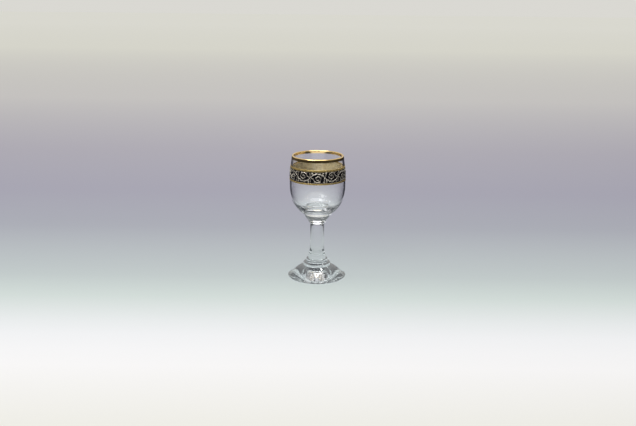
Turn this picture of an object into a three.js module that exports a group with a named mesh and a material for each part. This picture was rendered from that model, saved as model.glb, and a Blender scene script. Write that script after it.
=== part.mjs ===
// A small stemmed vodka glass: a blown bowl, a solid stem with a stepped collar and a heavy pressed foot,
// joined hot, with a gilded lip and a band of black enamel carrying gold scrollwork.
// Millimetres, +Z up. The origin is on the table, at the middle of the foot.
import * as THREE from "three";

// Foot: a dome on a flat resting ring, with two steps up to the stem
const FOOT_RADIUS = 24.6;
const FOOT_HEIGHT = 15.5;
const FOOT_EDGE = 1.3;
const FOOT_EDGE_BEVEL = 0.5;
const DOME_HEIGHT = 9.8;
const DOME_TANGENT = 1 / 3;
const DOME_EDGE_CLIMB = 1 / 4;
const DOME_CROWN_FALL = 1 / 10;
const REST_RING_WIDTH = 2.6;
const RECESS_DEPTH = 3.0;
const RECESS_FLAT_RADIUS = 8.0;
const RECESS_ROUND = 3.0;
const LOWER_STEP_RADIUS = 11.5;
const LOWER_STEP_HEIGHT = 2.2;
const LOWER_STEP_SLOPE = 0.7;
const UPPER_STEP_RADIUS = 9.0;
const STEP_BEVEL = 0.4;

// Stem: a ring at its foot, a straight shaft, and two rings that widen to the bowl
const STEM_HEIGHT = 38.9;
const STEM_RADIUS = 5.97;
const BASE_RING_RADIUS = 7.5;
const BASE_RING_HEIGHT = 3.2;
const BASE_FLARE = 8.3;
const NECK_RING_RADIUS = 7.5;
const NECK_RING_HEIGHT = 1.2;
const NECK_COVE = 3.6;
const COLLAR_RADIUS = 10.65;
const COLLAR_HEIGHT = 1.8;
const COLLAR_TAPER = 3.4;

// Bowl: egg-shaped, with a raised disc on the cup's floor, drawing in a little to a rounded lip
const BOWL_HEIGHT = 50.7;
const BOWL_BASE_RADIUS = 10.9;
const BASE_SPREAD = 4.35;
const BASE_RISE = 3.35;
const BELLY_RADIUS = 23.45;
const BELLY_HEIGHT = 25.6;
const BELLY_FULLNESS = 16.5;
const SHOULDER_TURN = 12.7;
const LIP_RADIUS = 21.55;
const LIP_WALL = 1.3;
const BELLY_WALL = 1.4;
const FLOOR_THICKNESS = 5.6;
const FLOOR_RADIUS = 10.2;
const FLOOR_SPREAD = 5.8;
const FLOOR_FULLNESS = 15.0;
const DISC_RADIUS = 8.8;
const DISC_HEIGHT = 2.7;
const DISC_CROWN = 0.2;

// Decoration: fired layers, each lying a hair off the one that it covers
const LAYER_GAP = 0.05;
const GILDING = 0.12;
const ENAMEL = 0.15;
const RELIEF = 0.2;
const LIP_GILDING_DROP = 2.6;
const BAND_DROP = 9.7;
const BAND_HEIGHT = 9.3;
const LINE_HEIGHT = 1.3;
const LINE_GAP = 0.1;

// Scrollwork: a running vine of volutes, turned up and down by turns
const SCROLL_COUNT = 12;
const SCROLL_RADIUS = 3.3;
const SCROLL_EYE_RADIUS = 0.75;
const SCROLL_TURNS = 1.3;
const SCROLL_RIBBON = 0.85;
const SCROLL_TAPER = 0.5;
const SCROLL_TAIL = 6.4;
const LEAF_LOBES = 5;
const LEAF_REACH = 0.55;

// Fineness of the facets
const SEGMENTS = 36;
const CURVE_STEPS = 7;
const ROUND_STEPS = 3;
const BAND_STEPS = 3;
const SCROLL_STEPS = 30;
const TAIL_STEPS = 5;

// Heights that follow from the sizes above
const STEM_BASE = FOOT_HEIGHT;
const BOWL_BASE = FOOT_HEIGHT + STEM_HEIGHT;
const LIP_TOP = BOWL_BASE + BOWL_HEIGHT;
const LIP_ROUND = LIP_WALL / 2;
const WALL_TOP = LIP_TOP - LIP_ROUND;
const BELLY_Z = BOWL_BASE + BELLY_HEIGHT;
const BAND_TOP = LIP_TOP - BAND_DROP;
const BAND_BOTTOM = BAND_TOP - BAND_HEIGHT;

const finishes = {
  glass: { color: 0xeef3f3, roughness: 0.04, metalness: 0, transparent: true, opacity: 0.35 },
  gold: { color: 0xc79a4b, roughness: 0.22, metalness: 1 },
  enamel: { color: 0x0a0a0b, roughness: 0.18, metalness: 0 },
};

const glass = new THREE.Group();

function addPiece(name, geometry, finish) {
  const piece = new THREE.Mesh(geometry, new THREE.MeshStandardMaterial(finishes[finish]));
  piece.name = name;
  glass.add(piece);
}

// A solid turned round the upright axis from points of radius and height
function turned(points) {
  return new THREE.LatheGeometry(points, SEGMENTS).rotateX(Math.PI / 2);
}

// The outside of the bowl's wall, from the belly up to the lip
const wallCurve = new THREE.QuadraticBezierCurve(
  new THREE.Vector2(BELLY_RADIUS, BELLY_Z),
  new THREE.Vector2(BELLY_RADIUS, BELLY_Z + SHOULDER_TURN),
  new THREE.Vector2(LIP_RADIUS, WALL_TOP),
);

// The outer radius of the bowl's wall at a height between the belly and the lip
function wallRadius(z) {
  const { v0, v1, v2 } = wallCurve;
  const a = v0.y - 2 * v1.y + v2.y;
  const b = 2 * (v1.y - v0.y);
  const c = v0.y - Math.min(Math.max(z, v0.y), v2.y);
  const t = (2 * c) / (-b - Math.sqrt(b * b - 4 * a * c));
  return wallCurve.getPoint(t).x;
}

// Points along the wall from one height up to another, standing off it by a distance
function wallPoints(zLow, zHigh, standOff) {
  const points = [];
  for (let i = 0; i <= BAND_STEPS; i += 1) {
    const z = zLow + ((zHigh - zLow) * i) / BAND_STEPS;
    points.push(new THREE.Vector2(wallRadius(z) + standOff, z));
  }
  return points;
}

// Points over the rounded lip from the outside to the inside, standing off it by a distance
function lipPoints(standOff) {
  const points = [];
  for (let i = 0; i <= 2 * ROUND_STEPS; i += 1) {
    const angle = (Math.PI * i) / (2 * ROUND_STEPS);
    points.push(
      new THREE.Vector2(
        LIP_RADIUS - LIP_ROUND + (LIP_ROUND + standOff) * Math.cos(angle),
        WALL_TOP + (LIP_ROUND + standOff) * Math.sin(angle),
      ),
    );
  }
  return points;
}

// Foot
const footEdgeRadius = FOOT_RADIUS - FOOT_EDGE_BEVEL;
const restInner = footEdgeRadius - REST_RING_WIDTH;
const domeSpread = footEdgeRadius - LOWER_STEP_RADIUS;
const domeRise = DOME_HEIGHT - FOOT_EDGE;
const lowerStepTop = DOME_HEIGHT + LOWER_STEP_HEIGHT;
const recessFall = (RECESS_DEPTH * RECESS_ROUND) / (restInner - RECESS_FLAT_RADIUS);
const footProfile = new THREE.Path()
  .moveTo(0, RECESS_DEPTH)
  .lineTo(RECESS_FLAT_RADIUS - RECESS_ROUND, RECESS_DEPTH)
  .quadraticCurveTo(
    RECESS_FLAT_RADIUS,
    RECESS_DEPTH,
    RECESS_FLAT_RADIUS + RECESS_ROUND,
    RECESS_DEPTH - recessFall,
  )
  .lineTo(restInner, 0)
  .lineTo(footEdgeRadius, 0)
  .lineTo(FOOT_RADIUS, FOOT_EDGE_BEVEL)
  .lineTo(FOOT_RADIUS, FOOT_EDGE - FOOT_EDGE_BEVEL)
  .lineTo(footEdgeRadius, FOOT_EDGE)
  .bezierCurveTo(
    footEdgeRadius - domeSpread * DOME_TANGENT,
    FOOT_EDGE + domeRise * DOME_EDGE_CLIMB,
    LOWER_STEP_RADIUS + domeSpread * DOME_TANGENT,
    DOME_HEIGHT - domeRise * DOME_CROWN_FALL,
    LOWER_STEP_RADIUS,
    DOME_HEIGHT,
  )
  .lineTo(LOWER_STEP_RADIUS, lowerStepTop - STEP_BEVEL)
  .lineTo(LOWER_STEP_RADIUS - STEP_BEVEL, lowerStepTop)
  .lineTo(UPPER_STEP_RADIUS, lowerStepTop + LOWER_STEP_SLOPE)
  .lineTo(UPPER_STEP_RADIUS, FOOT_HEIGHT - STEP_BEVEL)
  .lineTo(UPPER_STEP_RADIUS - STEP_BEVEL, FOOT_HEIGHT)
  .lineTo(0, FOOT_HEIGHT);
addPiece("foot", turned(footProfile.getPoints(CURVE_STEPS)), "glass");

// Stem
const baseRingTop = STEM_BASE + BASE_RING_HEIGHT;
const collarBase = BOWL_BASE - COLLAR_HEIGHT;
const neckTop = collarBase - COLLAR_TAPER;
const neckBase = neckTop - NECK_RING_HEIGHT;
const stemProfile = new THREE.Path()
  .moveTo(0, STEM_BASE)
  .lineTo(BASE_RING_RADIUS, STEM_BASE)
  .lineTo(BASE_RING_RADIUS, baseRingTop)
  .quadraticCurveTo(STEM_RADIUS, baseRingTop + BASE_FLARE / 2, STEM_RADIUS, baseRingTop + BASE_FLARE)
  .lineTo(STEM_RADIUS, neckBase - NECK_COVE)
  .quadraticCurveTo(STEM_RADIUS, neckBase - NECK_COVE / 3, NECK_RING_RADIUS, neckBase)
  .lineTo(NECK_RING_RADIUS, neckTop)
  .quadraticCurveTo(NECK_RING_RADIUS, neckTop + COLLAR_TAPER / 2, COLLAR_RADIUS, collarBase)
  .lineTo(COLLAR_RADIUS, BOWL_BASE - STEP_BEVEL)
  .lineTo(COLLAR_RADIUS - STEP_BEVEL, BOWL_BASE)
  .lineTo(0, BOWL_BASE);
addPiece("stem", turned(stemProfile.getPoints(CURVE_STEPS)), "glass");

// Bowl: up the outside, over the lip and down the inside to the disc on the cup's floor
const floorZ = BOWL_BASE + FLOOR_THICKNESS;
const innerBelly = BELLY_RADIUS - BELLY_WALL;
const bowlOutside = new THREE.Path()
  .moveTo(0, BOWL_BASE)
  .lineTo(BOWL_BASE_RADIUS, BOWL_BASE)
  .bezierCurveTo(
    BOWL_BASE_RADIUS + BASE_SPREAD,
    BOWL_BASE + BASE_RISE,
    BELLY_RADIUS,
    BELLY_Z - BELLY_FULLNESS,
    BELLY_RADIUS,
    BELLY_Z,
  );
const bowlInside = new THREE.Path()
  .moveTo(LIP_RADIUS - LIP_WALL, WALL_TOP)
  .quadraticCurveTo(innerBelly, BELLY_Z + SHOULDER_TURN, innerBelly, BELLY_Z)
  .bezierCurveTo(
    innerBelly,
    BELLY_Z - FLOOR_FULLNESS,
    FLOOR_RADIUS + FLOOR_SPREAD,
    floorZ,
    FLOOR_RADIUS,
    floorZ,
  )
  .lineTo(DISC_RADIUS, floorZ + DISC_HEIGHT)
  .lineTo(0, floorZ + DISC_HEIGHT + DISC_CROWN);
const bowlPoints = [
  ...bowlOutside.getPoints(CURVE_STEPS + 3),
  ...wallCurve.getPoints(CURVE_STEPS).slice(1, -1),
  ...lipPoints(0),
  ...bowlInside.getPoints(CURVE_STEPS + 1).slice(1),
];
addPiece("bowl", turned(bowlPoints), "glass");

// Gilded lip: a thin cap over the rounded lip and a little way down the outside
const lipLow = LIP_TOP - LIP_GILDING_DROP;
function lipSide(standOff) {
  return [new THREE.Vector2(wallRadius(lipLow) + standOff, lipLow), ...lipPoints(standOff)];
}
const lipInner = lipSide(LAYER_GAP);
const lipOuter = lipSide(LAYER_GAP + GILDING);
addPiece("lip_gilding", turned([...lipOuter, ...lipInner.reverse(), lipOuter[0].clone()]), "gold");

// A layer round the wall between two heights, from one distance off the wall to another
function wallLayer(zLow, zHigh, innerOff, outerOff) {
  const outer = wallPoints(zLow, zHigh, outerOff);
  const inner = wallPoints(zLow, zHigh, innerOff).reverse();
  return turned([...outer, ...inner, outer[0].clone()]);
}

// The gold ground, the enamel over it, and the gold lines above and below
const groundOff = LAYER_GAP + GILDING;
const enamelOff = groundOff + LAYER_GAP + ENAMEL;
const upperLine = BAND_TOP + LINE_GAP;
const lowerLine = BAND_BOTTOM - LINE_GAP;
addPiece("gold_ground", wallLayer(BAND_BOTTOM, BAND_TOP, LAYER_GAP, groundOff), "gold");
addPiece("enamel_band", wallLayer(BAND_BOTTOM, BAND_TOP, groundOff + LAYER_GAP, enamelOff), "enamel");
addPiece("upper_gold_line", wallLayer(upperLine, upperLine + LINE_HEIGHT, LAYER_GAP, enamelOff), "gold");
addPiece("lower_gold_line", wallLayer(lowerLine - LINE_HEIGHT, lowerLine, LAYER_GAP, enamelOff), "gold");

// One volute drawn flat: a tail that runs into a spiral, leafy on its outside, closing on a round eye.
// The ribbon's middle is at this place for s from 0 at the spiral's start to 1 at the eye.
function spiralPoint(s, offset) {
  const angle = -Math.PI / 2 + 2 * Math.PI * SCROLL_TURNS * s;
  const radius = SCROLL_RADIUS + (SCROLL_EYE_RADIUS - SCROLL_RADIUS) * s + offset;
  return new THREE.Vector2(radius * Math.cos(angle), radius * Math.sin(angle));
}

function voluteShape() {
  const outside = [];
  const inside = [];
  for (let i = 1; i < TAIL_STEPS; i += 1) {
    const grown = i / TAIL_STEPS;
    const half = (SCROLL_RIBBON / 2) * grown;
    const x = SCROLL_TAIL * (grown - 1);
    outside.push(new THREE.Vector2(x, -SCROLL_RADIUS - half));
    inside.push(new THREE.Vector2(x, half - SCROLL_RADIUS));
  }
  for (let i = 0; i <= SCROLL_STEPS; i += 1) {
    const s = i / SCROLL_STEPS;
    const half = (SCROLL_RIBBON / 2) * (1 - SCROLL_TAPER * s);
    const leaf = LEAF_REACH * Math.abs(Math.sin(Math.PI * LEAF_LOBES * s)) * (1 - s);
    outside.push(spiralPoint(s, half + leaf));
    inside.push(spiralPoint(s, -half));
  }
  const tailTip = new THREE.Vector2(-SCROLL_TAIL, -SCROLL_RADIUS);
  return new THREE.Shape([tailTip, ...outside, ...inside.reverse()]);
}

// A flat drawing, x along the band and y up it, laid round the wall on the enamel
const bandMiddle = (BAND_TOP + BAND_BOTTOM) / 2;
const bandRadius = wallRadius(bandMiddle);
function laidOnEnamel(shape, turn, upright) {
  const drawing = new THREE.ExtrudeGeometry(shape, { depth: RELIEF, bevelEnabled: false, curveSegments: 1 });
  if (!upright) drawing.rotateZ(Math.PI);
  const position = drawing.getAttribute("position");
  for (let i = 0; i < position.count; i += 1) {
    const z = bandMiddle + position.getY(i);
    const angle = turn + position.getX(i) / bandRadius;
    const radius = wallRadius(z) + enamelOff + LAYER_GAP + position.getZ(i);
    position.setXYZ(i, radius * Math.cos(angle), radius * Math.sin(angle), z);
  }
  return drawing;
}

const volute = voluteShape();
for (let i = 0; i < SCROLL_COUNT; i += 1) {
  const turn = (2 * Math.PI * i) / SCROLL_COUNT - Math.PI / 2;
  const name = "scroll_" + String(i + 1).padStart(2, "0");
  addPiece(name, laidOnEnamel(volute, turn, i % 2 === 0), "gold");
}

export default glass;
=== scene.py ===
import math
import bpy
from mathutils import Matrix, Vector


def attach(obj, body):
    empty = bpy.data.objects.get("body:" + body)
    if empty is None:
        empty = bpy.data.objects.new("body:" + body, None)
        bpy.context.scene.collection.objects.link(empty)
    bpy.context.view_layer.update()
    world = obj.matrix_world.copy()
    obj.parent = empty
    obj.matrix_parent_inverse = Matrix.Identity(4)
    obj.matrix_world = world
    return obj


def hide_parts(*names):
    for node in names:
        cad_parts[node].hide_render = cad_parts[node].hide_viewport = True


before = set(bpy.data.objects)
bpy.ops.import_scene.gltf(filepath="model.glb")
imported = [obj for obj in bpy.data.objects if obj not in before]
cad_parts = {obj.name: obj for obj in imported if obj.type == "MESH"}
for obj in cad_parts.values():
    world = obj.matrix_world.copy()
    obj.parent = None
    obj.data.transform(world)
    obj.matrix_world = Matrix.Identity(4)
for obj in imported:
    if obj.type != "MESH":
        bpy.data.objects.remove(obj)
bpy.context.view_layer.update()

scene = bpy.context.scene


# Foot: clear pressed glass, a dome on a flat resting ring with two steps up to the stem.
# The mould leaves soft edges, and the underside is hollowed so that the glass stands on its ring.
# The glass is sized in millimetres, and its outlines go by radius and height.
MM = 0.001
TURN_STEPS = 192
SOFT_EDGE_ANGLE = math.radians(48)
WELD_GAP = 0.002
JOINT_GAP = 0.01
FLAT_FACE = 0.99
GLASS_IOR = 1.51
SHADOW_TINT = (0.9, 0.925, 0.92)
FOOT_RADIUS = 24.6
FOOT_REST_OUTER = 24.1
FOOT_REST_INNER = 21.5
FOOT_REST_SOFT = 0.35
FOOT_HOLLOW = 3.0
FOOT_HOLLOW_FLAT = 8.0
FOOT_HOLLOW_SOFT = 3.0
FOOT_EDGE = 1.3
FOOT_EDGE_UPRIGHT = (0.35, 0.65)
FOOT_EDGE_SOFT = 0.18
FOOT_DOME = 9.8
FOOT_DOME_SOFT = 0.25
FOOT_DOME_SLOPE = (0.6, 0.1)
LOWER_STEP = (11.5, 12.0)
UPPER_STEP = (9.0, 15.5)
STEP_SOFT = 0.5
STEP_COVE = 12.7
STEP_COVE_SOFT = 0.4
STEM_SEAT = 7.5


def bezier(start, start_handle, end_handle, end, steps):
    """Points of radius and height along a drawn curve, ends included."""
    points = []
    for i in range(steps + 1):
        t = i / steps
        weights = ((1 - t) ** 3, 3 * t * (1 - t) ** 2, 3 * t * t * (1 - t), t ** 3)
        ends = (start, start_handle, end_handle, end)
        points.append(tuple(sum(w * p[k] for w, p in zip(weights, ends)) for k in (0, 1)))
    return points


def softened(corners, steps=4):
    """An outline through corners of radius, height and softening, with each corner rounded off."""
    points = []
    for i, (radius, height, soft) in enumerate(corners):
        here = Vector((radius, height))
        if soft == 0:
            points.append((radius, height))
            continue
        before = (Vector(corners[i - 1][:2]) - here).normalized() * soft + here
        after = (Vector(corners[i + 1][:2]) - here).normalized() * soft + here
        first = before.lerp(here, 2 / 3)
        second = after.lerp(here, 2 / 3)
        points += bezier(before, first, second, after, steps)
    return points


def turned(name, outline):
    """A piece turned round the upright axis from points of radius and height in millimetres."""
    bpy.ops.object.select_all(action="DESELECT")
    bpy.ops.mesh.primitive_plane_add(size=MM)
    piece = bpy.context.object
    piece.name = name
    bpy.ops.object.mode_set(mode="EDIT")
    bpy.ops.mesh.select_all(action="SELECT")
    bpy.ops.mesh.merge(type="CENTER")
    bpy.ops.transform.translate(value=(outline[0][0] * MM, 0, outline[0][1] * MM))
    for here, following in zip(outline, outline[1:]):
        step = ((following[0] - here[0]) * MM, 0, (following[1] - here[1]) * MM)
        bpy.ops.mesh.extrude_region_move(TRANSFORM_OT_translate={"value": step})
    bpy.ops.mesh.select_all(action="SELECT")
    bpy.ops.mesh.spin(steps=TURN_STEPS, angle=2 * math.pi, center=(0, 0, 0), axis=(0, 0, 1))
    bpy.ops.mesh.select_all(action="SELECT")
    bpy.ops.mesh.remove_doubles(threshold=WELD_GAP * MM)
    bpy.ops.mesh.normals_make_consistent(inside=False)
    bpy.ops.object.mode_set(mode="OBJECT")
    bpy.ops.object.shade_smooth_by_angle(angle=SOFT_EDGE_ANGLE)
    return piece


def glass_skin():
    """Node group: the faint waves and fire-polished gloss that the mould and the blowing leave on glass."""
    group = bpy.data.node_groups.new("glass_skin", "ShaderNodeTree")
    sockets = group.interface
    for socket, value in (("Wave Scale", 60.0), ("Wave Depth", 0.1), ("Haze", 0.01)):
        sockets.new_socket(socket, in_out="INPUT", socket_type="NodeSocketFloat").default_value = value
    sockets.new_socket("Roughness", in_out="OUTPUT", socket_type="NodeSocketFloat")
    sockets.new_socket("Normal", in_out="OUTPUT", socket_type="NodeSocketVector")
    nodes = group.nodes
    link = group.links.new
    taken = nodes.new("NodeGroupInput")
    given = nodes.new("NodeGroupOutput")
    place = nodes.new("ShaderNodeTexCoord")
    wave = nodes.new("ShaderNodeTexNoise")
    wave.inputs["Detail"].default_value = 1.0
    bump = nodes.new("ShaderNodeBump")
    bump.inputs["Distance"].default_value = 0.1 * MM
    film = nodes.new("ShaderNodeTexNoise")
    film.inputs["Scale"].default_value = 420.0
    film.inputs["Detail"].default_value = 3.0
    haze = nodes.new("ShaderNodeMath")
    haze.operation = "MULTIPLY"
    link(place.outputs["Object"], wave.inputs["Vector"])
    link(taken.outputs["Wave Scale"], wave.inputs["Scale"])
    link(wave.outputs["Fac"], bump.inputs["Height"])
    link(taken.outputs["Wave Depth"], bump.inputs["Strength"])
    link(place.outputs["Object"], film.inputs["Vector"])
    link(film.outputs["Fac"], haze.inputs[0])
    link(taken.outputs["Haze"], haze.inputs[1])
    link(haze.outputs["Value"], given.inputs["Roughness"])
    link(bump.outputs["Normal"], given.inputs["Normal"])
    return group


def clear_glass(name, tint, wave_scale, wave_depth, haze):
    """Clear soda glass that lets lamp light through to the table."""
    material = bpy.data.materials.new(name)
    material.use_nodes = True
    nodes = material.node_tree.nodes
    link = material.node_tree.links.new
    glass = nodes["Principled BSDF"]
    glass.inputs["Base Color"].default_value = (*tint, 1)
    glass.inputs["Transmission Weight"].default_value = 1.0
    glass.inputs["IOR"].default_value = GLASS_IOR
    skin = nodes.new("ShaderNodeGroup")
    skin.node_tree = bpy.data.node_groups.get("glass_skin") or glass_skin()
    skin.inputs["Wave Scale"].default_value = wave_scale
    skin.inputs["Wave Depth"].default_value = wave_depth
    skin.inputs["Haze"].default_value = haze
    link(skin.outputs["Roughness"], glass.inputs["Roughness"])
    link(skin.outputs["Normal"], glass.inputs["Normal"])
    path = nodes.new("ShaderNodeLightPath")
    lamp_light = nodes.new("ShaderNodeBsdfTransparent")
    lamp_light.inputs["Color"].default_value = (*SHADOW_TINT, 1)
    either = nodes.new("ShaderNodeMixShader")
    link(path.outputs["Is Shadow Ray"], either.inputs["Fac"])
    link(glass.outputs["BSDF"], either.inputs[1])
    link(lamp_light.outputs["BSDF"], either.inputs[2])
    link(either.outputs["Shader"], nodes["Material Output"].inputs["Surface"])
    return material


def hot_joint():
    """The inside of a hot joint, where the two glasses have run into one and no surface is left."""
    material = bpy.data.materials.get("hot_joint")
    if material is None:
        material = bpy.data.materials.new("hot_joint")
        material.use_nodes = True
        joint = material.node_tree.nodes["Principled BSDF"]
        joint.inputs["Base Color"].default_value = (0.96, 0.97, 0.97, 1)
        joint.inputs["Alpha"].default_value = 0.0
    return material


def fuse(piece, height, radius):
    """Gives the flat face at a height, out to a radius, to the hot joint."""
    piece.data.materials.append(hot_joint())
    slot = len(piece.data.materials) - 1
    for face in piece.data.polygons:
        middle = face.center
        flat = abs(face.normal.z) > FLAT_FACE and abs(middle.z - height * MM) < JOINT_GAP * MM
        if flat and math.hypot(middle.x, middle.y) < radius * MM:
            face.material_index = slot


foot_hollow = softened(
    [
        (0, FOOT_HOLLOW, 0),
        (FOOT_HOLLOW_FLAT, FOOT_HOLLOW, FOOT_HOLLOW_SOFT),
        (FOOT_REST_INNER, 0, 0),
    ],
    steps=10,
)
foot_edge = softened(
    [
        (FOOT_REST_INNER, 0, 0),
        (FOOT_REST_OUTER, 0, FOOT_REST_SOFT),
        (FOOT_RADIUS, FOOT_EDGE * FOOT_EDGE_UPRIGHT[0], FOOT_EDGE_SOFT),
        (FOOT_RADIUS, FOOT_EDGE * FOOT_EDGE_UPRIGHT[1], FOOT_EDGE_SOFT),
        (FOOT_REST_OUTER, FOOT_EDGE, 0),
    ]
)
foot_spread = FOOT_REST_OUTER - LOWER_STEP[0]
foot_rise = FOOT_DOME - FOOT_EDGE
foot_dome = bezier(
    (FOOT_REST_OUTER, FOOT_EDGE),
    (FOOT_REST_OUTER - foot_spread / 3, FOOT_EDGE + foot_rise / 4),
    (LOWER_STEP[0] + foot_spread / 3, FOOT_DOME - foot_rise / 10),
    (LOWER_STEP[0], FOOT_DOME),
    steps=28,
)
foot_steps = softened(
    [
        (LOWER_STEP[0] + FOOT_DOME_SLOPE[0], FOOT_DOME - FOOT_DOME_SLOPE[1], 0),
        (LOWER_STEP[0], FOOT_DOME, FOOT_DOME_SOFT),
        (LOWER_STEP[0], LOWER_STEP[1], STEP_SOFT),
        (UPPER_STEP[0], STEP_COVE, STEP_COVE_SOFT),
        (UPPER_STEP[0], UPPER_STEP[1], STEP_SOFT),
        (STEM_SEAT, UPPER_STEP[1], 0),
        (0, UPPER_STEP[1], 0),
    ]
)
foot = turned("glass_foot", foot_hollow + foot_edge[1:] + foot_dome[1:-1] + foot_steps[1:])
foot.data.materials.append(
    clear_glass("foot_glass", tint=(0.95, 0.965, 0.97), wave_scale=90.0, wave_depth=0.25, haze=0.004)
)
fuse(foot, UPPER_STEP[1], STEM_SEAT)
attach(foot, "root")
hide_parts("foot")


# Stem: a solid drawn shaft of the same glass, stuck hot to the foot and to the bowl.
# A ring stands at its foot, and two rings under the bowl widen to a collar.
STEM_RADIUS = 5.97
BASE_RING_TOP = 18.7
BASE_RING_SOFT = 0.4
FLARE_START = (6.95, 20.3)
FLARE_HANDLES = ((6.27, 22.3), (STEM_RADIUS, 24.4))
FLARE_TOP = 27.0
NECK_COVE = 44.4
NECK_HANDLES = ((STEM_RADIUS, 46.8), (6.47, 47.3))
NECK_END = (7.2, 47.9)
NECK_RING_CORNERS = ((7.5, 48.3, 0.2), (7.5, 49.2, 0.3))
COLLAR_CORNERS = ((10.15, 52.4, 0.6), (10.65, 54.0, 0.3))
COLLAR_TOP = 54.4
COLLAR_SEAT = 10.55

stem_base = softened(
    [
        (0, UPPER_STEP[1], 0),
        (STEM_SEAT, UPPER_STEP[1], 0),
        (STEM_SEAT, BASE_RING_TOP, BASE_RING_SOFT),
        (*FLARE_START, 0),
    ]
)
stem_flare = bezier(FLARE_START, *FLARE_HANDLES, (STEM_RADIUS, FLARE_TOP), steps=14)
stem_neck = bezier((STEM_RADIUS, NECK_COVE), *NECK_HANDLES, NECK_END, steps=12)
stem_collar = softened(
    [
        (*NECK_END, 0),
        *NECK_RING_CORNERS,
        *COLLAR_CORNERS,
        (COLLAR_SEAT, COLLAR_TOP, 0),
        (0, COLLAR_TOP, 0),
    ]
)
stem = turned("glass_stem", stem_base + stem_flare[1:] + stem_neck + stem_collar[1:])
stem.data.materials.append(
    clear_glass("stem_glass", tint=(0.985, 0.995, 0.99), wave_scale=70.0, wave_depth=0.2, haze=0.004)
)
fuse(stem, UPPER_STEP[1], STEM_SEAT)
fuse(stem, COLLAR_TOP, COLLAR_SEAT)
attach(stem, "root")
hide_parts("stem")


# Bowl: blown clear glass, egg-shaped, with a raised disc on the cup's floor and a rounded lip.
# It draws in a little above the belly, and the lip is fire-polished round.
BOWL_BASE = (10.9, 54.4)
BELLY = (23.45, 80.0)
BOWL_HANDLES = ((15.25, 57.75), (BELLY[0], 63.5))
LIP = (21.55, 104.45)
LIP_WALL = 1.3
BELLY_WALL = 1.4
WALL_STEPS = 20
SHOULDER_TURN = 12.7
CUP_TURN = (16.0, 65.0)
CUP_FLOOR = (10.2, 60.0)
CUP_DISC_SIDE = (9.6, 62.4)
CUP_DISC = (8.8, 62.7)
CUP_DISC_CROWN = 62.9
CUP_DISC_HANDLES = ((6.0, CUP_DISC_CROWN), (3.0, CUP_DISC_CROWN))


def wall_point(t):
    """Radius and height on the outside of the wall, from 0 at the belly to 1 at the lip."""
    corner = (BELLY[0], BELLY[1] + SHOULDER_TURN)
    weights = ((1 - t) ** 2, 2 * t * (1 - t), t * t)
    return tuple(sum(w * p[k] for w, p in zip(weights, (BELLY, corner, LIP))) for k in (0, 1))


def wall_radius(height):
    """The outer radius of the wall at a height between the belly and the lip."""
    bend = LIP[1] - BELLY[1] - 2 * SHOULDER_TURN
    rise = height - BELLY[1]
    return wall_point(rise / (SHOULDER_TURN + math.sqrt(SHOULDER_TURN ** 2 + bend * rise)))[0]


def over_lip(stand_off, steps=10):
    """Points over the rounded lip from the outside to the inside, standing off it by a distance."""
    points = []
    for i in range(steps + 1):
        angle = math.pi * i / steps
        reach = LIP_WALL / 2 + stand_off
        points.append(
            (LIP[0] - LIP_WALL / 2 + reach * math.cos(angle), LIP[1] + reach * math.sin(angle))
        )
    return points


bowl_outside = bezier(BOWL_BASE, *BOWL_HANDLES, BELLY, steps=36)
bowl_wall = [wall_point(i / WALL_STEPS) for i in range(1, WALL_STEPS)]
inner_lip = (LIP[0] - LIP_WALL, LIP[1])
inner_belly = (BELLY[0] - BELLY_WALL, BELLY[1])
inner_turn = (inner_belly[0], BELLY[1] + SHOULDER_TURN)
inner_handles = [Vector(end).lerp(Vector(inner_turn), 2 / 3) for end in (inner_lip, inner_belly)]
bowl_inside = bezier(inner_lip, *inner_handles, inner_belly, steps=WALL_STEPS)
floor_handles = ((inner_belly[0], CUP_TURN[1]), (CUP_TURN[0], CUP_FLOOR[1]))
bowl_floor = bezier(inner_belly, *floor_handles, CUP_FLOOR, steps=40)
disc_side = bezier(CUP_FLOOR, (CUP_DISC_SIDE[0], CUP_FLOOR[1]), CUP_DISC_SIDE, CUP_DISC, steps=10)
disc_top = bezier(CUP_DISC, *CUP_DISC_HANDLES, (0, CUP_DISC_CROWN), steps=8)
bowl_bottom = [(0, BOWL_BASE[1]), (COLLAR_SEAT, BOWL_BASE[1])]
bowl_cup = bowl_inside[1:] + bowl_floor[1:] + disc_side[1:] + disc_top[1:]
bowl = turned("glass_bowl", bowl_bottom + bowl_outside + bowl_wall + over_lip(0) + bowl_cup)
bowl.data.materials.append(
    clear_glass("bowl_glass", tint=(0.99, 0.995, 0.995), wave_scale=55.0, wave_depth=0.004, haze=0.003)
)
fuse(bowl, BOWL_BASE[1], COLLAR_SEAT)
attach(bowl, "root")
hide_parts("bowl")


# Gilded lip: bright liquid gold brushed over the rounded lip and a little way down the outside, then fired.
# It is bright, with a fine grain and small patches where use has worn it darker.
LAYER_GAP = 0.02
GILDING = 0.05
GILDING_STEPS = 16
LIP_GILDING_LOW = 102.5


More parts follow.
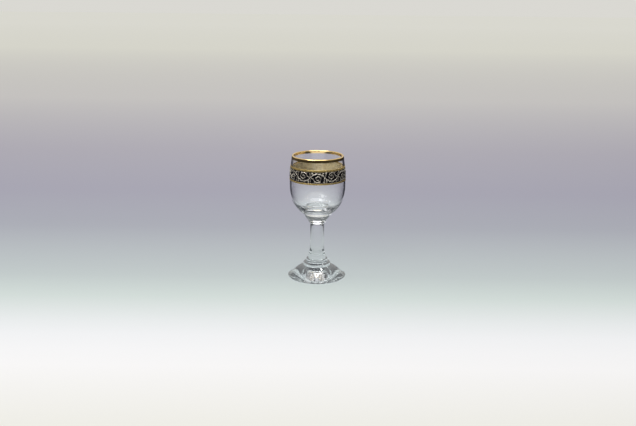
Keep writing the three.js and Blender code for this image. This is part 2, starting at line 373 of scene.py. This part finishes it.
def gilt_wear():
    """Node group: the uneven burnish of fired gold, as a colour, a roughness and a normal."""
    group = bpy.data.node_groups.new("gilt_wear", "ShaderNodeTree")
    sockets = group.interface
    for socket, value in (("Gold", (0.8, 0.6, 0.3, 1)), ("Worn Gold", (0.6, 0.42, 0.2, 1))):
        sockets.new_socket(socket, in_out="INPUT", socket_type="NodeSocketColor").default_value = value
    for socket, value in (("Grain", 900.0), ("Gloss", 0.15), ("Dullness", 0.35), ("Relief", 0.1)):
        sockets.new_socket(socket, in_out="INPUT", socket_type="NodeSocketFloat").default_value = value
    sockets.new_socket("Color", in_out="OUTPUT", socket_type="NodeSocketColor")
    sockets.new_socket("Roughness", in_out="OUTPUT", socket_type="NodeSocketFloat")
    sockets.new_socket("Normal", in_out="OUTPUT", socket_type="NodeSocketVector")
    nodes = group.nodes
    link = group.links.new
    taken = nodes.new("NodeGroupInput")
    given = nodes.new("NodeGroupOutput")
    place = nodes.new("ShaderNodeTexCoord")
    grain = nodes.new("ShaderNodeTexNoise")
    grain.inputs["Detail"].default_value = 4.0
    grain.inputs["Roughness"].default_value = 0.6
    patch = nodes.new("ShaderNodeTexNoise")
    patch.inputs["Scale"].default_value = 160.0
    patch.inputs["Detail"].default_value = 2.0
    spread = nodes.new("ShaderNodeMapRange")
    spread.inputs["From Min"].default_value = 0.35
    spread.inputs["From Max"].default_value = 0.65
    both = nodes.new("ShaderNodeMath")
    both.operation = "MULTIPLY"
    colour = nodes.new("ShaderNodeMix")
    colour.data_type = "RGBA"
    rough = nodes.new("ShaderNodeMix")
    bump = nodes.new("ShaderNodeBump")
    bump.inputs["Distance"].default_value = 0.03 * MM
    link(place.outputs["Object"], grain.inputs["Vector"])
    link(place.outputs["Object"], patch.inputs["Vector"])
    link(taken.outputs["Grain"], grain.inputs["Scale"])
    link(grain.outputs["Fac"], spread.inputs["Value"])
    link(spread.outputs["Result"], both.inputs[0])
    link(patch.outputs["Fac"], both.inputs[1])
    link(both.outputs["Value"], colour.inputs["Factor"])
    link(taken.outputs["Gold"], colour.inputs["A"])
    link(taken.outputs["Worn Gold"], colour.inputs["B"])
    link(both.outputs["Value"], rough.inputs["Factor"])
    link(taken.outputs["Gloss"], rough.inputs["A"])
    link(taken.outputs["Dullness"], rough.inputs["B"])
    link(grain.outputs["Fac"], bump.inputs["Height"])
    link(taken.outputs["Relief"], bump.inputs["Strength"])
    link(colour.outputs["Result"], given.inputs["Color"])
    link(rough.outputs["Result"], given.inputs["Roughness"])
    link(bump.outputs["Normal"], given.inputs["Normal"])
    return group


def fired_gold(name, gold, worn, grain, gloss, dullness, relief, burnish=1.0):
    """Fired gold of its own colour, grain and burnish: 1 for bright gold and less for matt paste."""
    material = bpy.data.materials.new(name)
    material.use_nodes = True
    nodes = material.node_tree.nodes
    link = material.node_tree.links.new
    metal = nodes["Principled BSDF"]
    metal.inputs["Metallic"].default_value = burnish
    wear = nodes.new("ShaderNodeGroup")
    wear.node_tree = bpy.data.node_groups.get("gilt_wear") or gilt_wear()
    wear.inputs["Gold"].default_value = (*gold, 1)
    wear.inputs["Worn Gold"].default_value = (*worn, 1)
    wear.inputs["Grain"].default_value = grain
    wear.inputs["Gloss"].default_value = gloss
    wear.inputs["Dullness"].default_value = dullness
    wear.inputs["Relief"].default_value = relief
    link(wear.outputs["Color"], metal.inputs["Base Color"])
    link(wear.outputs["Roughness"], metal.inputs["Roughness"])
    link(wear.outputs["Normal"], metal.inputs["Normal"])
    return material


lip_low = (wall_radius(LIP_GILDING_LOW), LIP_GILDING_LOW)
gilding_off = LAYER_GAP + GILDING
lip_outer = [(lip_low[0] + gilding_off, lip_low[1])] + over_lip(gilding_off, GILDING_STEPS)
lip_inner = [(lip_low[0] + LAYER_GAP, lip_low[1])] + over_lip(LAYER_GAP, GILDING_STEPS)
lip_gilding = turned("gilded_lip", lip_outer + lip_inner[::-1] + lip_outer[:1])
lip_gold = fired_gold(
    "lip_gold",
    gold=(1.0, 0.75, 0.35),
    worn=(0.9, 0.56, 0.21),
    grain=1400.0,
    gloss=0.06,
    dullness=0.16,
    relief=0.05,
)
lip_gilding.data.materials.append(lip_gold)
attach(lip_gilding, "root")
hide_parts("lip_gilding")


# Gold ground: matt gold fired on the glass under the enamel, seen from inside through the clear wall.
# It is stippled on, so it shows a fine mottle.
BAND_LOW = 86.1
BAND_HIGH = 95.4
LAYER_STEPS = 10
GROUND_SOFT = 0.04


def layer_round_wall(name, low, high, inner_off, outer_off, soft):
    """A thin layer round the wall between two heights, its outer edges softened."""
    heights = [low + (high - low) * i / LAYER_STEPS for i in range(LAYER_STEPS + 1)]
    outer = [(wall_radius(z) + outer_off, z) for z in heights]
    inner = [(wall_radius(z) + inner_off, z) for z in heights]
    outer[0] = (outer[0][0] - soft, outer[0][1])
    outer[-1] = (outer[-1][0] - soft, outer[-1][1])
    outer.insert(1, (wall_radius(low + soft) + outer_off, low + soft))
    outer.insert(-1, (wall_radius(high - soft) + outer_off, high - soft))
    return turned(name, outer + inner[::-1] + outer[:1])


ground = layer_round_wall(
    "gold_ground_layer", BAND_LOW, BAND_HIGH, LAYER_GAP, gilding_off, GROUND_SOFT
)
ground_gold = fired_gold(
    "ground_gold",
    gold=(1.0, 0.82, 0.5),
    worn=(0.62, 0.43, 0.2),
    grain=520.0,
    gloss=0.45,
    dullness=0.65,
    relief=0.4,
    burnish=0.5,
)
ground.data.materials.append(ground_gold)
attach(ground, "root")
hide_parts("gold_ground")


# Enamel band: black enamel printed over the gold ground and fired.
# It is glossy, with the slight orange-peel of a printed coat.
ENAMEL = 0.08
ENAMEL_SOFT = 0.05


def black_enamel():
    """Glossy black enamel with a faint skin and fine pits."""
    material = bpy.data.materials.new("black_enamel")
    material.use_nodes = True
    nodes = material.node_tree.nodes
    link = material.node_tree.links.new
    gloss = nodes["Principled BSDF"]
    gloss.inputs["Specular IOR Level"].default_value = 0.1
    place = nodes.new("ShaderNodeTexCoord")
    skin = nodes.new("ShaderNodeTexNoise")
    skin.inputs["Scale"].default_value = 700.0
    skin.inputs["Detail"].default_value = 3.0
    shade = nodes.new("ShaderNodeMix")
    shade.data_type = "RGBA"
    shade.inputs["A"].default_value = (0.004, 0.004, 0.005, 1)
    shade.inputs["B"].default_value = (0.012, 0.011, 0.012, 1)
    rough = nodes.new("ShaderNodeMapRange")
    rough.inputs["To Min"].default_value = 0.05
    rough.inputs["To Max"].default_value = 0.13
    bump = nodes.new("ShaderNodeBump")
    bump.inputs["Strength"].default_value = 0.15
    bump.inputs["Distance"].default_value = 0.03 * MM
    link(place.outputs["Object"], skin.inputs["Vector"])
    link(skin.outputs["Fac"], shade.inputs["Factor"])
    link(skin.outputs["Fac"], rough.inputs["Value"])
    link(skin.outputs["Fac"], bump.inputs["Height"])
    link(shade.outputs["Result"], gloss.inputs["Base Color"])
    link(rough.outputs["Result"], gloss.inputs["Roughness"])
    link(bump.outputs["Normal"], gloss.inputs["Normal"])
    return material


enamel_under = gilding_off + LAYER_GAP
enamel_off = enamel_under + ENAMEL
enamel = layer_round_wall(
    "black_enamel_band", BAND_LOW, BAND_HIGH, enamel_under, enamel_off, ENAMEL_SOFT
)
enamel.data.materials.append(black_enamel())
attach(enamel, "root")
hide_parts("enamel_band")


# Gold lines: two bands of fired gold that edge the enamel above and below.
# They are brushed on while the glass turns, and stand as high as the enamel.
LINE_HEIGHT = 1.3
LINE_GAP = 0.1
LINE_SOFT = 0.08
line_gold = fired_gold(
    "line_gold",
    gold=(0.93, 0.68, 0.24),
    worn=(0.55, 0.36, 0.12),
    grain=700.0,
    gloss=0.22,
    dullness=0.4,
    relief=0.25,
    burnish=0.7,
)
for line_name, node, line_low in (
    ("gold_line_upper", "upper_gold_line", BAND_HIGH + LINE_GAP),
    ("gold_line_lower", "lower_gold_line", BAND_LOW - LINE_GAP - LINE_HEIGHT),
):
    line_high = line_low + LINE_HEIGHT
    line = layer_round_wall(line_name, line_low, line_high, LAYER_GAP, enamel_off, LINE_SOFT)
    line.data.materials.append(line_gold)
    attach(line, "root")
    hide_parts(node)


# Scrollwork: a running vine of volutes and leaves, drawn in pale gold paste on the enamel and fired.
# One length of the vine is drawn flat and laid round the band twelve times, turned up and down by turns.
SCROLL_COUNT = 12
PASTE_RISE = 0.45
VINE_ARCH = 3.2
ARCH_FULLNESS = 0.85
ARCH_STEPS = 24
ARCH_STROKE = 0.28
VOLUTE_CENTRE = (0.2, -0.75)
VOLUTE_START = 3.7
VOLUTE_TIGHTENING = 0.155
VOLUTE_TURNS = 1.45
VOLUTE_ANGLE = math.radians(184)
VOLUTE_STEPS = 36
VOLUTE_STROKE = (0.36, 0.24)
VOLUTE_EYE = 0.66
BRANCH_AT = 0.03
BRANCH_BEND = (-5.0, -0.4)
HEADING_STEP = 0.01
LEAF_STEPS = 6
LEAF_ROOT = 0.15
LEAF_SWELL = (0.12, 0.84)
UPPER_LEAVES = ((0.16, 1.7), (0.36, 1.3), (0.62, 1.3), (0.82, 1.7))
UPPER_LEAN = 0.95
LOWER_LEAVES = (0.3, 0.56, 0.76)
LOWER_LEAN = -0.9
VOLUTE_LEAVES = ((0.08, 1.6), (0.28, 1.48), (0.48, 1.36), (0.68, 1.24), (0.88, 1.12))
VOLUTE_LEAN = -0.9
CORNER_LEAVES = (
    ((-5.8, -1.0), -1.8, 2.7, 0.46, 0.9),
    ((5.9, -0.5), -2.1, 2.0, 0.44, 0.9),
    ((4.4, -4.1), 0.9, 1.9, 0.42, -0.9),
)
CURLS = (
    ((-4.7, 3.1), 1.05, -1.1, 0.9),
    ((4.85, 3.05), 1.05, math.pi + 1.1, -0.9),
)
CURL_STEPS = 14
CURL_WINDING = 0.8
CURL_STROKE = (0.24, 0.34)
BEADS = ((-3.6, -4.0), (5.7, -3.9), (0.1, 4.2))
BEAD_STROKE = 0.34
BEAD_REACH = 0.12
BEAD_END = 0.7
band_middle = (BAND_LOW + BAND_HIGH) / 2
band_radius = wall_radius(band_middle) + enamel_off
vine_length = 2 * math.pi * band_radius / SCROLL_COUNT


def arch_place(share):
    """A place on the vine's stem, from 0 at its left end to 1 at its right end."""
    x = vine_length * (share - 0.5)
    return (x, VINE_ARCH * max(0, math.cos(math.pi * x / vine_length)) ** ARCH_FULLNESS)


def volute_place(turns):
    """A place on the volute after a number of turns."""
    angle = VOLUTE_ANGLE + 2 * math.pi * turns
    radius = VOLUTE_START * math.exp(-VOLUTE_TIGHTENING * 2 * math.pi * turns)
    return (VOLUTE_CENTRE[0] + radius * math.cos(angle), VOLUTE_CENTRE[1] + radius * math.sin(angle))


def heading(place, at):
    """The direction of a drawn line at a place along it."""
    (x0, y0), (x1, y1) = place(at - HEADING_STEP), place(at + HEADING_STEP)
    return math.atan2(y1 - y0, x1 - x0)


def stem_stroke(places, first, last):
    """A stroke of paste that goes evenly from one half width to another, as places and half widths."""
    steps = len(places) - 1
    return [(place, first + (last - first) * i / steps) for i, place in enumerate(places)]


def leaf_stroke(root, angle, length, half_width, curl):
    """A leaf: a stroke that swells and then comes to a point, curling to one side."""
    stroke = []
    x, y = root
    for i in range(LEAF_STEPS + 1):
        along = i / LEAF_STEPS
        swell = math.sin(math.pi * (LEAF_SWELL[0] + LEAF_SWELL[1] * along))
        stroke.append(((x, y), half_width * (LEAF_ROOT + (1 - LEAF_ROOT) * swell)))
        x += length / LEAF_STEPS * math.cos(angle + curl * along)
        y += length / LEAF_STEPS * math.sin(angle + curl * along)
    return stroke


def curl_stroke(centre, radius, start, turns):
    """A small tendril that winds in and thickens to a blunt end."""
    places = []
    for i in range(CURL_STEPS + 1):
        reach = radius * (1 - CURL_WINDING * i / CURL_STEPS)
        angle = start + 2 * math.pi * turns * i / CURL_STEPS
        places.append((centre[0] + reach * math.cos(angle), centre[1] + reach * math.sin(angle)))
    return stem_stroke(places, *CURL_STROKE)


def bead_stroke(place, half_width):
    """A bead of paste."""
    x, y = place
    end = half_width * BEAD_END
    return [((x - BEAD_REACH, y), end), ((x, y), half_width), ((x + BEAD_REACH, y), end)]


def vine_strokes():
    """The strokes of one length of the vine, x along the band and y up it, in millimetres."""
    arch = [arch_place(i / ARCH_STEPS) for i in range(ARCH_STEPS + 1)]
    branch = [arch_place(BRANCH_AT), BRANCH_BEND]
    volute = [volute_place(VOLUTE_TURNS * i / VOLUTE_STEPS) for i in range(VOLUTE_STEPS + 1)]
    strokes = [
        stem_stroke(arch, ARCH_STROKE, ARCH_STROKE),
        stem_stroke(branch + volute, *VOLUTE_STROKE),
        bead_stroke(VOLUTE_CENTRE, VOLUTE_EYE),
    ]
    for at, length in UPPER_LEAVES:
        out = heading(arch_place, at) + UPPER_LEAN
        strokes.append(leaf_stroke(arch_place(at), out, length, half_width=0.38, curl=-1.5))
    for at in LOWER_LEAVES:
        out = heading(arch_place, at) + LOWER_LEAN
        strokes.append(leaf_stroke(arch_place(at), out, length=1.15, half_width=0.34, curl=1.3))
    for at, length in VOLUTE_LEAVES:
        out = heading(volute_place, at) + VOLUTE_LEAN
        strokes.append(leaf_stroke(volute_place(at), out, length, half_width=0.38, curl=1.3))
    strokes += [curl_stroke(*curl) for curl in CURLS]
    strokes += [leaf_stroke(*leaf) for leaf in CORNER_LEAVES]
    strokes += [bead_stroke(place, BEAD_STROKE) for place in BEADS]
    return strokes


def draw_vine():
    """One length of the vine as round strokes, drawn flat with their middle at height 0."""
    paste = bpy.data.curves.new("vine", "CURVE")
    paste.dimensions = "3D"
    paste.bevel_depth = MM
    paste.bevel_resolution = 2
    paste.use_fill_caps = True
    for stroke in vine_strokes():
        spline = paste.splines.new("POLY")
        spline.points.add(len(stroke) - 1)
        for knot, ((x, y), half_width) in zip(spline.points, stroke):
            knot.co = (x * MM, y * MM, 0, 1)
            knot.radius = half_width
    drawn = bpy.data.objects.new("vine", paste)
    scene.collection.objects.link(drawn)
    bpy.ops.object.select_all(action="DESELECT")
    drawn.select_set(True)
    bpy.context.view_layer.objects.active = drawn
    bpy.ops.object.convert(target="MESH")
    drawn = bpy.context.object
    bpy.ops.object.mode_set(mode="EDIT")
    bpy.ops.mesh.select_all(action="SELECT")
    bpy.ops.mesh.remove_doubles(threshold=WELD_GAP * MM)
    bpy.ops.mesh.normals_make_consistent(inside=False)
    bpy.ops.object.mode_set(mode="OBJECT")
    bpy.ops.object.shade_smooth_by_angle(angle=SOFT_EDGE_ANGLE)
    return drawn


def lay_on_enamel(flat, name, turn, upright):
    """A copy of the flat vine, laid round the enamel at a turn, each stroke flat against it."""
    bpy.ops.object.select_all(action="DESELECT")
    flat.select_set(True)
    bpy.context.view_layer.objects.active = flat
    bpy.ops.object.duplicate(linked=False)
    laid = bpy.context.object
    laid.name = name
    laid.data.name = name
    way = 1 if upright else -1
    for vertex in laid.data.vertices:
        x, y, rise = vertex.co / MM
        height = band_middle + way * y
        angle = turn + way * x / band_radius
        radius = wall_radius(height) + enamel_off + max(0, rise) * PASTE_RISE
        vertex.co = (radius * math.cos(angle) * MM, radius * math.sin(angle) * MM, height * MM)
    return laid


scroll_gold = fired_gold(
    "scroll_gold",
    gold=(0.92, 0.86, 0.75),
    worn=(0.42, 0.36, 0.28),
    grain=1600.0,
    gloss=0.16,
    dullness=0.38,
    relief=0.3,
    burnish=0.92,
)
vine = draw_vine()
for i in range(SCROLL_COUNT):
    turn = 2 * math.pi * i / SCROLL_COUNT - math.pi / 2
    laid = lay_on_enamel(vine, f"gold_scroll_{i + 1:02d}", turn, i % 2 == 0)
    laid.data.materials.append(scroll_gold)
    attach(laid, "root")
    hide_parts(f"scroll_{i + 1:02d}")
bpy.data.objects.remove(vine)


# Table: a matt sheet whose colour ramp paints the light and shade of a lit table: white before the glass, a
# darker green painted shade round the foot, lavender grey behind it, paler far off. It also glows with that
# painted light of its own.
# For metal and solid glass it is painted dark to the sides and in front, a painted dark reflection which
# draws their edges.
# Through the bowl's two walls it shows as it is, with a painted pool of light behind the glass that stands
# in for the soft veil of lamp light that the walls reflect.
SHEET_SIZE = 16
SHEET_MIDDLE = 2.5
SHEET_DROP = 0.25
SHEET_GLOW = 0.7
# Painted light and shade of a lit table, by distance behind the glass: cream shading at the front edge,
# white in front, a darker green painted shade round the foot, lavender grey behind, paler far off.
SHEET_LIGHT_STOPS = (
    (-0.30, (0.80, 0.79, 0.70)),
    (-0.17, (0.94, 0.93, 0.93)),
    (-0.12, (0.87, 0.88, 0.89)),
    (-0.05, (0.64, 0.71, 0.68)),
    (0.00, (0.54, 0.59, 0.59)),
    (0.15, (0.42, 0.43, 0.48)),
    (0.30, (0.41, 0.40, 0.47)),
    (0.57, (0.47, 0.45, 0.50)),
    (1.20, (0.67, 0.65, 0.63)),
    (3.00, (0.86, 0.85, 0.76)),
    (6.00, (0.90, 0.89, 0.81)),
)
# Painted dark reflection: the colour that metal and solid glass see on the sheet to the sides and in front.
SHEET_PAINTED_DARK = (0.02, 0.02, 0.03)
SHEET_RIGHT = (0.075, 0.13)
SHEET_LEFT = (-0.08, -0.13)
SHEET_LEFT_SHARE = 0.9
SHEET_FRONT = (-0.26, -0.32)
# Painted pool of light behind the glass. It shows only through both walls of the bowl and stands in for the
# soft veil of lamp light that the walls reflect.
PAINTED_POOL = (0.8, 0.84, 0.86)
PAINTED_POOL_SHARE = 0.5
PAINTED_POOL_HALF_WIDTH = 0.085
PAINTED_POOL_FAR = (0.42, 0.26)
WALL_FACES = 4


def painted(nodes, value, stops):
    """A colour ramp through stops of value and colour, over the range of values that they span."""
    low = stops[0][0]
    span = stops[-1][0] - low
    share = nodes.new("ShaderNodeMapRange")
    share.inputs["From Min"].default_value = low
    share.inputs["From Max"].default_value = low + span
    ramp = nodes.new("ShaderNodeValToRGB")
    marks = ramp.color_ramp.elements
    marks[0].color = (*stops[0][1], 1)
    marks[1].color = (*stops[-1][1], 1)
    for place, colour in stops[1:-1]:
        marks.new((place - low) / span).color = (*colour, 1)
    link = ramp.id_data.links.new
    link(value, share.inputs["Value"])
    link(share.outputs["Result"], ramp.inputs["Fac"])
    return ramp.outputs["Color"]


def eased(nodes, value, start, end, first, last):
    """A value that eases from first to last while another goes from start to end."""
    ease = nodes.new("ShaderNodeMapRange")
    ease.interpolation_type = "SMOOTHSTEP"
    ease.inputs["From Min"].default_value = start
    ease.inputs["From Max"].default_value = end
    ease.inputs["To Min"].default_value = first
    ease.inputs["To Max"].default_value = last
    ease.id_data.links.new(value, ease.inputs["Value"])
    return ease.outputs["Result"]


def worked(nodes, operation, *values):
    """The result of a sum on sockets and numbers, kept between 0 and 1."""
    sum_node = nodes.new("ShaderNodeMath")
    sum_node.operation = operation
    sum_node.use_clamp = True
    for socket, value in zip(sum_node.inputs, values):
        if isinstance(value, (int, float)):
            socket.default_value = value
        else:
            sum_node.id_data.links.new(value, socket)
    return sum_node.outputs["Value"]


def blended(nodes, share, colour, other):
    """A colour that goes over to another one by a share."""
    blend = nodes.new("ShaderNodeMix")
    blend.data_type = "RGBA"
    blend.inputs["B"].default_value = (*other, 1)
    blend.id_data.links.new(share, blend.inputs["Factor"])
    blend.id_data.links.new(colour, blend.inputs["A"])
    return blend.outputs["Result"]


def straight_through(nodes, path):
    """A mask of the rays that went through both walls of the bowl and were reflected nowhere."""
    both_walls = worked(nodes, "GREATER_THAN", path.outputs["Transmission Depth"], WALL_FACES - 0.5)
    unreflected = worked(nodes, "SUBTRACT", 1, path.outputs["Glossy Depth"])
    return worked(nodes, "MULTIPLY", both_walls, unreflected)


bpy.ops.object.select_all(action="DESELECT")
bpy.ops.mesh.primitive_plane_add(size=SHEET_SIZE, location=(0, SHEET_MIDDLE, -SHEET_DROP * MM))
bpy.ops.object.transform_apply(location=True)
sheet = bpy.context.object
sheet.name = "table_sheet"
paper = bpy.data.materials.new("pale_sheet")
paper.use_nodes = True
paper_nodes = paper.node_tree.nodes
paper_link = paper.node_tree.links.new
paper_matt = paper_nodes["Principled BSDF"]
paper_matt.inputs["Roughness"].default_value = 0.9
paper_matt.inputs["Specular IOR Level"].default_value = 0.1
paper_place = paper_nodes.new("ShaderNodeTexCoord")
paper_split = paper_nodes.new("ShaderNodeSeparateXYZ")
paper_link(paper_place.outputs["Object"], paper_split.inputs["Vector"])
paper_x, paper_y = (paper_split.outputs[axis] for axis in "XY")
paper_path = paper_nodes.new("ShaderNodeLightPath")
right = eased(paper_nodes, paper_x, *SHEET_RIGHT, 0, 1)
left = eased(paper_nodes, paper_x, *SHEET_LEFT, 0, SHEET_LEFT_SHARE)
front = eased(paper_nodes, paper_y, *SHEET_FRONT, 0, 1)
# Where the sheet is painted dark for reflected and bent rays: to the sides and in front.
painted_dark_place = worked(paper_nodes, "MAXIMUM", worked(paper_nodes, "ADD", right, left), front)
clear = straight_through(paper_nodes, paper_path)
turned_aside = worked(paper_nodes, "ADD", clear, paper_path.outputs["Is Camera Ray"])
turned_aside = worked(paper_nodes, "SUBTRACT", 1, turned_aside)
from_middle = worked(paper_nodes, "ABSOLUTE", paper_x)
# The painted pool of light, narrow across and set a little behind the glass, seen only through both walls
# of the bowl.
painted_pool = eased(paper_nodes, from_middle, 0, PAINTED_POOL_HALF_WIDTH, PAINTED_POOL_SHARE, 0)
painted_pool = worked(paper_nodes, "MULTIPLY", painted_pool, eased(paper_nodes, paper_y, *PAINTED_POOL_FAR, 0, 1))
painted_pool = worked(paper_nodes, "MULTIPLY", painted_pool, clear)
paper_painted_dark = worked(paper_nodes, "MULTIPLY", painted_dark_place, turned_aside)
# The sheet's colour carries its painted light and shade, the painted pool of light and the painted dark
# reflection.
paper_painted_light = painted(paper_nodes, paper_y, SHEET_LIGHT_STOPS)
paper_painted_light = blended(paper_nodes, painted_pool, paper_painted_light, PAINTED_POOL)
paper_painted_light = blended(paper_nodes, paper_painted_dark, paper_painted_light, SHEET_PAINTED_DARK)
# The sheet glows with this painted light for camera, glossy and transmission rays, as if it were a lamp.
seen = paper_path.outputs["Is Camera Ray"]
for ray in ("Is Glossy Ray", "Is Transmission Ray"):
    seen = worked(paper_nodes, "ADD", seen, paper_path.outputs[ray])
paper_glow = paper_nodes.new("ShaderNodeEmission")
paper_mix = paper_nodes.new("ShaderNodeMixShader")
paper_link(paper_painted_light, paper_matt.inputs["Base Color"])
paper_link(paper_painted_light, paper_glow.inputs["Color"])
paper_link(worked(paper_nodes, "MULTIPLY", seen, SHEET_GLOW), paper_mix.inputs["Fac"])
paper_link(paper_matt.outputs["BSDF"], paper_mix.inputs[1])
paper_link(paper_glow.outputs["Emission"], paper_mix.inputs[2])
paper_link(paper_mix.outputs["Shader"], paper_nodes["Material Output"].inputs["Surface"])
sheet.data.materials.append(paper)


# Light: a wide pale panel overhead and one soft box on the left in front, in a pale room.
# A brighter screen stands behind the glass above the picture.
# Solid glass finds the room dark all round. Metal finds it pale, and dark only low down in front.
PANEL_PLACE = (-0.05, -0.1, 1.3)
PANEL_SIZE = (1.35, 0.9)
PANEL_POWER = 11.0
SOFTBOX_PLACE = (-0.55, -0.8, 1.0)
SOFTBOX_SIZE = (0.85, 0.5)
SOFTBOX_POWER = 6.0
ROOM_STOPS = (
    (-1.0, (0.70, 0.69, 0.65)),
    (0.3, (0.70, 0.69, 0.65)),
    (0.75, (0.10, 0.10, 0.12)),
    (1.0, (0.10, 0.10, 0.12)),
)
ROOM_DARK = (0.08, 0.09, 0.1)
METAL_ROOM = (0.68, 0.66, 0.62)
METAL_DARK = (0.04, 0.04, 0.04)
METAL_LOW = (0.12, 0.35)
METAL_FRONT = (0.5, 0.1)
ROOM_RIGHT = (0.25, 0.9)
ROOM_RIGHT_SHARE = 0.95
ROOM_LEFT = (-0.25, -0.9)
ROOM_LEFT_SHARE = 0.75
ROOM_FRONT = (0.1, -0.5)
SCREEN = (0.9, 0.88, 0.9)
SCREEN_SHARE = 0.5
SCREEN_BACK = (0.3, 0.8)
SCREEN_LOW_EDGE = (0.1, 0.25)
SCREEN_HIGH_EDGE = (0.5, 0.7)
GLASS_SHARE = 0.88


def add_lamp(name, place, size, power):
    """A flat lamp that faces the glass."""
    lamp = bpy.data.objects.new(name, bpy.data.lights.new(name, "AREA"))
    lamp.data.shape = "ELLIPSE"
    lamp.data.size = size[0]
    lamp.data.size_y = size[1]
    lamp.data.energy = power
    lamp.location = place
    lamp.rotation_euler = (-Vector(place)).to_track_quat("-Z", "Y").to_euler()
    scene.collection.objects.link(lamp)


add_lamp("panel", PANEL_PLACE, PANEL_SIZE, PANEL_POWER)
add_lamp("softbox", SOFTBOX_PLACE, SOFTBOX_SIZE, SOFTBOX_POWER)

room = bpy.data.worlds.new("room")
scene.world = room
room.use_nodes = True
room_nodes = room.node_tree.nodes
room_link = room.node_tree.links.new
room_place = room_nodes.new("ShaderNodeTexCoord")
room_split = room_nodes.new("ShaderNodeSeparateXYZ")
room_link(room_place.outputs["Generated"], room_split.inputs["Vector"])
room_x, room_y, room_z = (room_split.outputs[axis] for axis in "XYZ")
room_path = room_nodes.new("ShaderNodeLightPath")
behind = eased(room_nodes, room_y, *SCREEN_BACK, 0, SCREEN_SHARE)
raised = eased(room_nodes, room_z, *SCREEN_LOW_EDGE, 0, 1)
capped = eased(room_nodes, room_z, *SCREEN_HIGH_EDGE, 1, 0)
on_screen = worked(room_nodes, "MULTIPLY", behind, worked(room_nodes, "MULTIPLY", raised, capped))
on_right = eased(room_nodes, room_x, *ROOM_RIGHT, 0, ROOM_RIGHT_SHARE)
on_left = eased(room_nodes, room_x, *ROOM_LEFT, 0, ROOM_LEFT_SHARE)
beside = worked(room_nodes, "ADD", on_right, on_left)
seen_plain = straight_through(room_nodes, room_path)
seen_plain = worked(room_nodes, "ADD", seen_plain, room_path.outputs["Is Camera Ray"])
bent = worked(room_nodes, "SUBTRACT", 1, seen_plain)
beside = worked(room_nodes, "MULTIPLY", beside, bent)
in_front = eased(room_nodes, room_y, *ROOM_FRONT, 0, 1)
in_front = worked(room_nodes, "MULTIPLY", in_front, room_path.outputs["Is Glossy Ray"])
in_dark = worked(room_nodes, "MAXIMUM", in_front, beside)
in_glass = worked(room_nodes, "MINIMUM", room_path.outputs["Transmission Depth"], GLASS_SHARE)
in_glass = worked(room_nodes, "MULTIPLY", in_glass, bent)
on_metal = worked(
    room_nodes, "SUBTRACT", room_path.outputs["Is Glossy Ray"], room_path.outputs["Transmission Depth"]
)
low = eased(room_nodes, room_z, *METAL_LOW, 1, 0)
low_in_front = worked(room_nodes, "MULTIPLY", low, eased(room_nodes, room_y, *METAL_FRONT, 0, 1))
room_colour = painted(room_nodes, room_z, ROOM_STOPS)
room_colour = blended(room_nodes, on_screen, room_colour, SCREEN)
room_colour = blended(room_nodes, in_dark, room_colour, ROOM_DARK)
room_colour = blended(room_nodes, in_glass, room_colour, ROOM_DARK)
room_colour = blended(room_nodes, on_metal, room_colour, METAL_ROOM)
metal_dark = worked(room_nodes, "MULTIPLY", on_metal, low_in_front)
room_colour = blended(room_nodes, metal_dark, room_colour, METAL_DARK)
room_link(room_colour, room_nodes["Background"].inputs["Color"])


# Camera: a little above the glass, as in the photograph.
# Its place, tilt and lens were fitted to the ellipses of the lip, the band and the foot.
SENSOR_WIDTH = 36
FOCAL_PIXELS = 788
PICTURE_PIXELS = 636
CAMERA_PLACE = (0.0006, -0.6436, 0.2316)
CAMERA_PITCH = math.radians(15.33)
CAMERA_ROLL = math.radians(0.58)
camera = bpy.data.objects.new("camera", bpy.data.cameras.new("camera"))
camera.data.sensor_width = SENSOR_WIDTH
camera.data.lens = FOCAL_PIXELS * SENSOR_WIDTH / PICTURE_PIXELS
camera.location = CAMERA_PLACE
camera_tilt = Matrix.Rotation(math.radians(90) - CAMERA_PITCH, 3, "X")
camera.rotation_euler = (camera_tilt @ Matrix.Rotation(CAMERA_ROLL, 3, "Z")).to_euler()
scene.collection.objects.link(camera)
scene.camera = camera
scene.view_settings.view_transform = "Standard"
scene.cycles.max_bounces = 32
scene.cycles.transmission_bounces = 32
scene.cycles.glossy_bounces = 16
scene.cycles.transparent_max_bounces = 32
